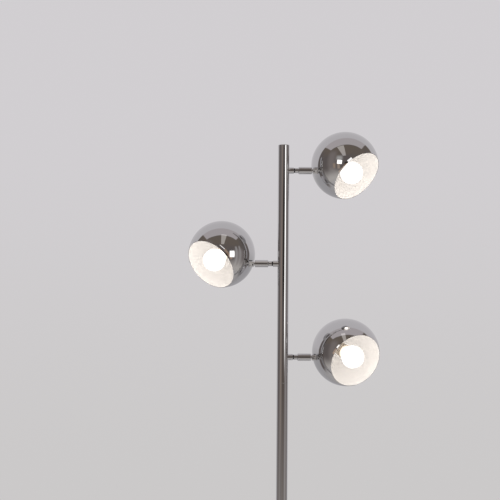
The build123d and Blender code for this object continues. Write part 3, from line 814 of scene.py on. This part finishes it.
def growth_tree(name, kinds, grow):
    """Geometry nodes with inputs of these kinds that lift, smooth and finish what is grown."""
    tree = bpy.data.node_groups.new(name, "GeometryNodeTree")
    for label, kind in kinds.items():
        tree.interface.new_socket(label, in_out="INPUT", socket_type=f"NodeSocket{kind}")
    tree.interface.new_socket("Geometry", in_out="OUTPUT", socket_type="NodeSocketGeometry")
    given, result = tree.nodes.new("NodeGroupInput").outputs, tree.nodes.new("NodeGroupOutput")
    lift = added(tree, "ShaderNodeCombineXYZ", {"Z": given["Lift"]}).outputs[0]
    made = grow(tree, given)
    for kind, values in (
        ("GeometryNodeTransform", {"Translation": lift}),
        ("GeometryNodeRealizeInstances", {}),
        ("GeometryNodeSetShadeSmooth", {}),
        ("GeometryNodeSetMaterial", {"Material": given["Finish"]}),
    ):
        made = added(tree, kind, {0: made, **values}).outputs[0]
    feed(tree, result.inputs[0], made)
    return tree


def rib_tree():
    """Geometry nodes for grip ribs: round bars that stand in a ring about Z."""

    def grow(tree, given):
        ring = {"Vertices": given["Count"], "Radius": given["Ring Radius"]}
        bar = {"Vertices": 10, "Radius": given["Rib Radius"], "Depth": given["Rib Length"]}
        ring = added(tree, "GeometryNodeMeshCircle", ring).outputs["Mesh"]
        bar = added(tree, "GeometryNodeMeshCylinder", bar).outputs["Mesh"]
        return added(tree, "GeometryNodeInstanceOnPoints", {"Points": ring, "Instance": bar}).outputs[0]

    kinds = dict.fromkeys(("Ring Radius", "Rib Radius", "Rib Length", "Lift"), "Float")
    return growth_tree("Grip ribs", {"Count": "Int", **kinds, "Finish": "Material"}, grow)


def thread_tree():
    """Geometry nodes for a screw thread: a round ridge wound about Z."""

    def grow(tree, given):
        path = {"Rotations": given["Turns"], "Height": given["Height"], "Resolution": 40}
        path |= dict.fromkeys(("Start Radius", "End Radius"), given["Radius"])
        section = {"Radius": given["Ridge Radius"], "Resolution": 8}
        path = added(tree, "GeometryNodeCurveSpiral", path).outputs[0]
        section = added(tree, "GeometryNodeCurvePrimitiveCircle", section).outputs["Curve"]
        ridge = {"Curve": path, "Profile Curve": section, "Fill Caps": True}
        return added(tree, "GeometryNodeCurveToMesh", ridge).outputs[0]

    kinds = dict.fromkeys(("Turns", "Radius", "Height", "Ridge Radius", "Lift"), "Float")
    return growth_tree("Screw thread", {**kinds, "Finish": "Material"}, grow)


def grown(name, tree, inputs, place):
    """The result of a geometry node tree with these inputs, as a plain mesh set in its place."""
    seed = shown(name, bpy.data.meshes.new(name))
    growth = seed.modifiers.new("growth", "NODES")
    growth.node_group = tree
    for item in tree.interface.items_tree:
        if item.in_out == "INPUT":
            growth[item.identifier] = inputs[item.name]
    made = plain_mesh(seed, name)
    made.data.transform(place)
    return made


def make_holders():
    """The lampholders with their ribbed rings, the bent straps that carry them, and the leads."""
    h = bpy.context.scene.lamp_heads
    ring_low = h.holder_front - h.holder_ring_length
    mouth_low = h.holder_front - h.holder_mouth_depth
    ring_radius = h.holder_ring_radius - h.rib_radius / 2
    nipple_hole = bpy.context.scene.lamp_pole.nipple_hole
    body = outline(
        (nipple_hole, h.holder_base),
        (h.holder_base_radius, h.holder_base, 0.4 * MM),
        (h.holder_radius, h.holder_base + h.holder_taper, 1.5 * MM),
        (h.holder_radius, ring_low),
        (ring_radius, ring_low, 0.2 * MM),
        (ring_radius, h.holder_front, 0.5 * MM),
        (h.holder_mouth_radius, h.holder_front, 0.4 * MM),
        (h.holder_mouth_radius, mouth_low),
        (h.holder_cavity_radius, mouth_low, 0.1 * MM),
        (h.holder_cavity_radius, h.holder_cavity_floor),
        (0, h.holder_cavity_floor),
        (0, h.holder_nipple_end),
        (nipple_hole, h.holder_nipple_end),
    )
    ribs = rib_tree()
    rib_share = 0.74  # of the ring's length
    grip = {
        "Count": h.rib_count,
        "Ring Radius": ring_radius - h.rib_radius / 2,
        "Rib Radius": h.rib_radius,
        "Rib Length": h.holder_ring_length * rib_share,
        "Lift": (ring_low + h.holder_front) / 2,
        "Finish": finishes["cream_plastic"],
    }
    for head in HEADS:
        place, rides_on, node = bulb_place(head), f"{head}_head", f"{head}_lampholder"
        lathe(f"{node}_dressed", body, place, SOCKET_SIDES, rides_on, "cream_plastic", node)
        settle(grown(f"{head}_holder_ribs", ribs, grip, place), rides_on, "cream_plastic")
        dress(f"{head}_holder_bracket", rides_on, "zinc_steel", h.bracket_edge)
        dress(f"{head}_head_lead", rides_on, "lead_sheath")


def make_bulbs():
    """The lit opal globes and their threaded metal caps."""
    h = bpy.context.scene.lamp_heads
    across = h.globe_neck + h.globe_blend
    blend_low = h.globe_centre - sqrt((h.globe_radius + h.globe_blend) ** 2 - across**2)
    touch = -acos(across / hypot(across, h.globe_centre - blend_low))
    glass = straight((0, h.cap_top), (h.globe_neck, h.cap_top))
    glass += straight((h.globe_neck, h.cap_top), (h.globe_neck, blend_low))
    glass += along_arc((across, blend_low), h.globe_blend, pi, pi + touch, 16, -1)
    glass += along_arc((0, h.globe_centre), h.globe_radius, touch, pi / 2, 56)
    shell_low = h.cap_top - h.cap_shell
    taper_low = shell_low - h.cap_taper
    core = h.cap_radius - h.thread_depth
    cap = outline(
        (0, taper_low - h.contact_length),
        (h.contact_radius, taper_low - h.contact_length, 0.5 * MM),
        (h.contact_radius, taper_low, 0.2 * MM),
        (h.insulator_radius, taper_low),
        (core, shell_low, 0.8 * MM),
        (core, h.cap_top),
        (0, h.cap_top),
        closed=False,
    )
    threads = thread_tree()
    thread_share = 0.62  # of the straight part of the cap
    turns = (h.cap_shell * thread_share) / h.thread_pitch
    winding = {
        "Turns": turns,
        "Radius": core,
        "Height": turns * h.thread_pitch,
        "Lift": shell_low + h.thread_pitch / 2,
        "Ridge Radius": h.thread_depth,
        "Finish": finishes["nickel"],
    }
    for head in HEADS:
        place, rides_on = bulb_place(head), f"{head}_head"
        globe, bottom = f"{head}_bulb_globe", f"{head}_bulb_cap"
        lathe(f"{head}_globe_dressed", glass, place, GLOBE_SIDES, rides_on, "opal_glass", globe)
        lathe(f"{head}_cap_dressed", cap, place, SMALL_SIDES, rides_on, "nickel", bottom)
        settle(grown(f"{head}_cap_thread", threads, winding, place), rides_on, "nickel")


def finish_inner_nodes():
    """Finishes for the CAD nodes that stay as they are: the fixings and leads inside the lamp."""
    inner = {
        "cast_iron": ("base_weight",),
        "eva_foam": ("base_pad",),
        "clear_plastic": ("terminal_block",),
        "zinc_steel": (
            "base_nipple",
            "base_washer",
            "base_nut",
            "tube_inserts",
            "coupling_nipples",
            "arm_axles",
            "arm_nuts",
            "swivel_retainers",
        ),
        "lead_sheath": ("pole_lead", "arm_leads"),
        "splice_plastic": ("splice_sleeves",),
    }
    for slot, nodes in inner.items():
        for node in nodes:
            materials = frame["nodes"][node].data.materials
            materials.clear()
            materials.append(finishes[slot])


# ------------------------------------------------------------------ stage
def make_world():
    """A studio by direction: a pale backdrop behind, a dim room in front, and a soft box."""
    look = bpy.context.scene.lamp_finishes
    world = bpy.data.worlds.new("Studio")
    world.cycles.sampling_method = "NONE"
    bpy.context.scene.world = world
    world.use_nodes = True
    tree = world.node_tree
    tree.nodes.clear()
    direction = added(tree, "ShaderNodeTexCoord").outputs["Generated"]
    split = added(tree, "ShaderNodeSeparateXYZ", {0: direction})
    x, y, z = (Reading(tree, axis) for axis in split.outputs)
    side = x.worked("ARCTAN2", y * -1.0).worked("DEGREES")  # 0 at the front, positive to the right
    height = z.worked("ARCSINE").worked("DEGREES")
    drift = noise(tree, 2.2, 2.0, direction) - 0.5

    room_dark, room_warm = (0.150, 0.130, 0.125), (0.175, 0.145, 0.122)
    tint = painted(tree, room_dark, room_warm, (height + drift * 60.0).over(18, 44))
    for colour_there, sides, heights, soft in (
        ((0.30, 0.27, 0.265), (46, 78), (-26, 14), 8),  # pale wall on the right
        ((0.41, 0.39, 0.385), (51, 58), (-34, 24), 3),  # paler strips on that wall
        ((0.38, 0.36, 0.355), (65, 71), (-34, 24), 3),
        ((0.24, 0.215, 0.215), (82, 100), (-30, 8), 6),  # far end of that wall
        ((0.24, 0.21, 0.20), (-66, -40), (-20, 40), 10),  # paler wall on the left
        ((0.40, 0.31, 0.24), (-47, -40), (-13, 2), 4),  # warm strip on the left
        ((0.42, 0.34, 0.28), (-33, -24), (-16, 12), 3),  # warm strip nearer the middle
        ((0.040, 0.034, 0.031), (-8, 25), (-4, 6), 2),  # dark gap in front
        ((0.12, 0.095, 0.08), (-10, 25), (-24, -7), 4),  # dim floor under the gap
        ((0.48, 0.47, 0.46), (-36, -16), (12, 26), 6),  # bounce above the left panel
    ):
        there = side.within(*sides, soft) * height.within(*heights, soft)
        tint = painted(tree, tint, colour_there, there)
    below = (height + drift * 10.0).over(-8, -44) * y.over(0.24, 0.06)
    front_rise = z + y * 2.5 + drift * 0.16
    side_rise = z - x.worked("ABSOLUTE") * 0.98 + drift * 0.10
    inside_sides = side_rise.over(-0.02, 0.04)
    for colour_there, there in (
        ((0.56, 0.53, 0.505), below),  # pale floor
        ((0.53, 0.49, 0.50), front_rise.over(-0.03, 0.05) * inside_sides),  # ceiling
        ((0.16, 0.145, 0.135), front_rise.within(-0.09, -0.03, 0.03) * inside_sides),  # its seam
        ((2.4, 2.4, 2.35), side.within(30, 46, 3) * height.within(-8, 11, 3)),  # soft box
    ):
        tint = painted(tree, tint, colour_there, there)

    low_tint, high_tint = tuple(look.backdrop_low), tuple(look.backdrop_high)
    backdrop = painted(tree, low_tint, high_tint, z.over(-0.35, 0.20))
    edge = y + z * 0.2 * z.over(0.0, 0.1) + z.over(-0.78, -0.92) * 0.4
    behind = painted(tree, backdrop, (0.45, 0.44, 0.455), z.over(0.1, -0.4))
    studio = painted(tree, tint, behind, edge.over(0.34, 0.40))

    on_matt = (0.36, 0.35, 0.35)
    seen = added(tree, "ShaderNodeLightPath").outputs["Is Camera Ray"]
    final = painted(tree, painted(tree, on_matt, studio, straight_mirrored(tree)), backdrop, seen)
    background = added(tree, "ShaderNodeBackground", {"Color": final})
    added(tree, "ShaderNodeOutputWorld", {"Surface": background.outputs[0]})


def make_floor():
    """A pale round floor whose edge runs out into the background."""
    look = bpy.context.scene.lamp_finishes
    material, tree, shader = new_material("pale_floor")
    feed(tree, shader.inputs["Base Color"], (*look.floor, 1))
    feed(tree, shader.inputs["Roughness"], 0.6)
    place = added(tree, "ShaderNodeTexCoord").outputs["Object"]
    reach = added(tree, "ShaderNodeVectorMath", {0: place}, operation="LENGTH").outputs["Value"]
    solid_share = 0.45  # of the floor's radius
    solid = Reading(tree, reach).over(look.floor_radius, look.floor_radius * solid_share)
    feed(tree, shader.inputs["Alpha"], solid)
    disc = straight((look.floor_radius, 0), (0, 0))
    turned("floor", disc, AT_ORIGIN, POLE_SIDES, [material])


def soft_panel(name, place, size, radiance, tint, shape="RECTANGLE"):
    """An area light that faces along the place's -Z, as bright to look at as its radiance says."""
    light = bpy.data.lights.new(name, "AREA")
    light.shape = shape
    light.size, light.size_y = size
    light.color = tint
    light.energy = radiance * pi * size[0] * size[1]
    lamp = bpy.data.objects.new(name, light)
    lamp.matrix_world = place
    lamp.visible_camera = False
    bpy.context.scene.collection.objects.link(lamp)
    return lamp


def towards(centre, side, height, distance, roll=0.0):
    """A place that faces the centre from this side and height, in degrees, with its Y upwards."""
    across, up = radians(side), radians(height)
    away = Vector((sin(across) * cos(up), -cos(across) * cos(up), sin(up)))
    to_face = away.to_track_quat("Z", "Y").to_matrix().to_4x4()
    rolled = Matrix.Rotation(radians(roll), 4, "Z")
    return Matrix.Translation(centre + away * distance) @ to_face @ rolled


def make_lights():
    """A soft light overhead for all but the enamel, and the small panels that the chrome shows."""
    lamp_middle, warm_tint, window_tint = Vector((0, 0, 0.6)), (1.0, 0.64, 0.40), (1.0, 0.99, 0.97)
    place = towards(lamp_middle, -29, 68, 2.8)
    overhead = soft_panel("overhead", place, (2.2, 2.2), 2.8, (1, 1, 1), "ELLIPSE")
    overhead.visible_glossy = False
    place = Matrix.Translation((-0.035, -0.585, 2.0))
    screen = soft_panel("screen_above", place, (0.19, 0.73), 0.36, (1.0, 0.97, 0.94))
    screen.visible_diffuse = False
    coats = bpy.data.collections.new("lit_by_their_bulbs")
    for head in HEADS:
        coats.objects.link(bpy.data.objects[f"{head}_enamel_dressed"])
    for member in coats.collection_objects:
        member.light_linking.link_state = "EXCLUDE"
    for lamp in (overhead, screen):
        lamp.light_linking.receiver_collection = coats
    # Each panel: name, the head whose shade shows it, side, height, size, roll, radiance, tint
    for name, head, side, height, size, roll, radiance, tint in (
        ("left_panel", "top", -24.5, 5.5, (0.27, 0.22), -8, 2.0, window_tint),
        ("window", "top", 9.0, 12.0, (0.30, 0.13), 38, 1.5, window_tint),
        ("warm_streak", "top", -14.0, -14.0, (0.70, 0.10), 47, 0.26, warm_tint),
        ("window_edge", "middle", 4.0, 24.0, (0.36, 0.04), -42, 1.2, window_tint),
        ("warm_bounce", "middle", 24.0, 1.0, (0.70, 0.13), -52, 0.26, warm_tint),
        ("warm_edge", "bottom", -44.0, 8.0, (0.12, 0.34), -30, 0.30, warm_tint),
        ("low_window", "bottom", -30.0, 22.0, (0.26, 0.22), -35, 1.5, window_tint),
    ):
        place = towards(joints[f"{head}_turn"][0], side, height, 1.0, roll)
        lamp = soft_panel(name, place, size, radiance, tint)
        lamp.visible_diffuse = False
        ball = bpy.data.collections.new(f"{name}_shows_in")
        ball.objects.link(bpy.data.objects[f"{head}_shade_dressed"])
        lamp.light_linking.receiver_collection = ball


def make_camera():
    """The camera at the photograph's viewing angle."""
    camera = bpy.data.cameras.new("camera")
    camera.lens = 50.0
    camera.sensor_width = 36.0
    view = bpy.data.objects.new("camera", camera)
    view.location = (-0.0651, -1.363, 1.3406)
    view.rotation_euler = (radians(90), radians(-0.35), 0)
    bpy.context.scene.collection.objects.link(view)
    bpy.context.scene.camera = view


# ------------------------------------------------------------------ operators and panel
class LAMP_OT_finishes(bpy.types.Operator):
    """Makes every material of the lamp and gives the inner CAD nodes theirs"""

    bl_idname = "lamp.finishes"
    bl_label = "Finishes"

    def execute(self, context):
        make_finishes()
        finish_inner_nodes()
        return {"FINISHED"}


class LAMP_OT_base(bpy.types.Operator):
    """Builds the base cover and the cable bush"""

    bl_idname = "lamp.base"
    bl_label = "Base"

    def execute(self, context):
        make_base()
        return {"FINISHED"}


class LAMP_OT_pole(bpy.types.Operator):
    """Builds the pole's tubes, cap, arm sockets and washers"""

    bl_idname = "lamp.pole"
    bl_label = "Pole"

    def execute(self, context):
        make_pole()
        return {"FINISHED"}


class LAMP_OT_arms(bpy.types.Operator):
    """Builds the barrels, forks and screws of the arms"""

    bl_idname = "lamp.arms"
    bl_label = "Arms"

    def execute(self, context):
        make_arms()
        return {"FINISHED"}


class LAMP_OT_knuckles(bpy.types.Operator):
    """Builds the tongues and stem nuts"""

    bl_idname = "lamp.knuckles"
    bl_label = "Knuckles"

    def execute(self, context):
        make_knuckles()
        return {"FINISHED"}


class LAMP_OT_shades(bpy.types.Operator):
    """Builds the ball shades"""

    bl_idname = "lamp.shades"
    bl_label = "Shades"

    def execute(self, context):
        make_shades()
        return {"FINISHED"}


class LAMP_OT_holders(bpy.types.Operator):
    """Builds the lampholders, straps and leads"""

    bl_idname = "lamp.holders"
    bl_label = "Lampholders"

    def execute(self, context):
        make_holders()
        return {"FINISHED"}


class LAMP_OT_bulbs(bpy.types.Operator):
    """Builds the bulbs"""

    bl_idname = "lamp.bulbs"
    bl_label = "Bulbs"

    def execute(self, context):
        make_bulbs()
        return {"FINISHED"}


class LAMP_OT_stage(bpy.types.Operator):
    """Builds the floor, the studio light and the camera"""

    bl_idname = "lamp.stage"
    bl_label = "Stage"

    def execute(self, context):
        make_world()
        make_floor()
        make_lights()
        make_camera()
        return {"FINISHED"}


STEPS = (
    LAMP_OT_finishes,
    LAMP_OT_base,
    LAMP_OT_pole,
    LAMP_OT_arms,
    LAMP_OT_knuckles,
    LAMP_OT_shades,
    LAMP_OT_holders,
    LAMP_OT_bulbs,
    LAMP_OT_stage,
)
GROUPS = {
    "lamp_pole": PoleSizes,
    "lamp_arms": ArmSizes,
    "lamp_heads": HeadSizes,
    "lamp_finishes": Finishes,
}


class LAMP_PT_panel(bpy.types.Panel):
    """Lists the steps, sizes and colours of the lamp"""

    bl_idname = "LAMP_PT_panel"
    bl_label = "Tree floor lamp"
    bl_space_type = "VIEW_3D"
    bl_region_type = "UI"
    bl_category = "Lamp"

    def draw(self, context):
        for step in STEPS:
            self.layout.operator(step.bl_idname)
        for name, group in GROUPS.items():
            box = self.layout.box()
            for label in group.__annotations__:
                box.prop(getattr(context.scene, name), label)


def register():
    for group in GROUPS.values():
        bpy.utils.register_class(group)
    for name, group in GROUPS.items():
        setattr(bpy.types.Scene, name, PointerProperty(type=group))
    for step in STEPS:
        bpy.utils.register_class(step)
    bpy.utils.register_class(LAMP_PT_panel)


def unregister():
    bpy.utils.unregister_class(LAMP_PT_panel)
    for step in reversed(STEPS):
        bpy.utils.unregister_class(step)
    for name in GROUPS:
        delattr(bpy.types.Scene, name)
    for group in reversed(list(GROUPS.values())):
        bpy.utils.unregister_class(group)


def main():
    """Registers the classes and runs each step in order."""
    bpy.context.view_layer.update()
    register()
    bpy.context.scene.view_settings.view_transform = "Standard"
    for step in STEPS:
        getattr(bpy.ops.lamp, step.bl_idname.split(".")[1])()
    bpy.context.view_layer.update()


if __name__ == "__main__":
    main()
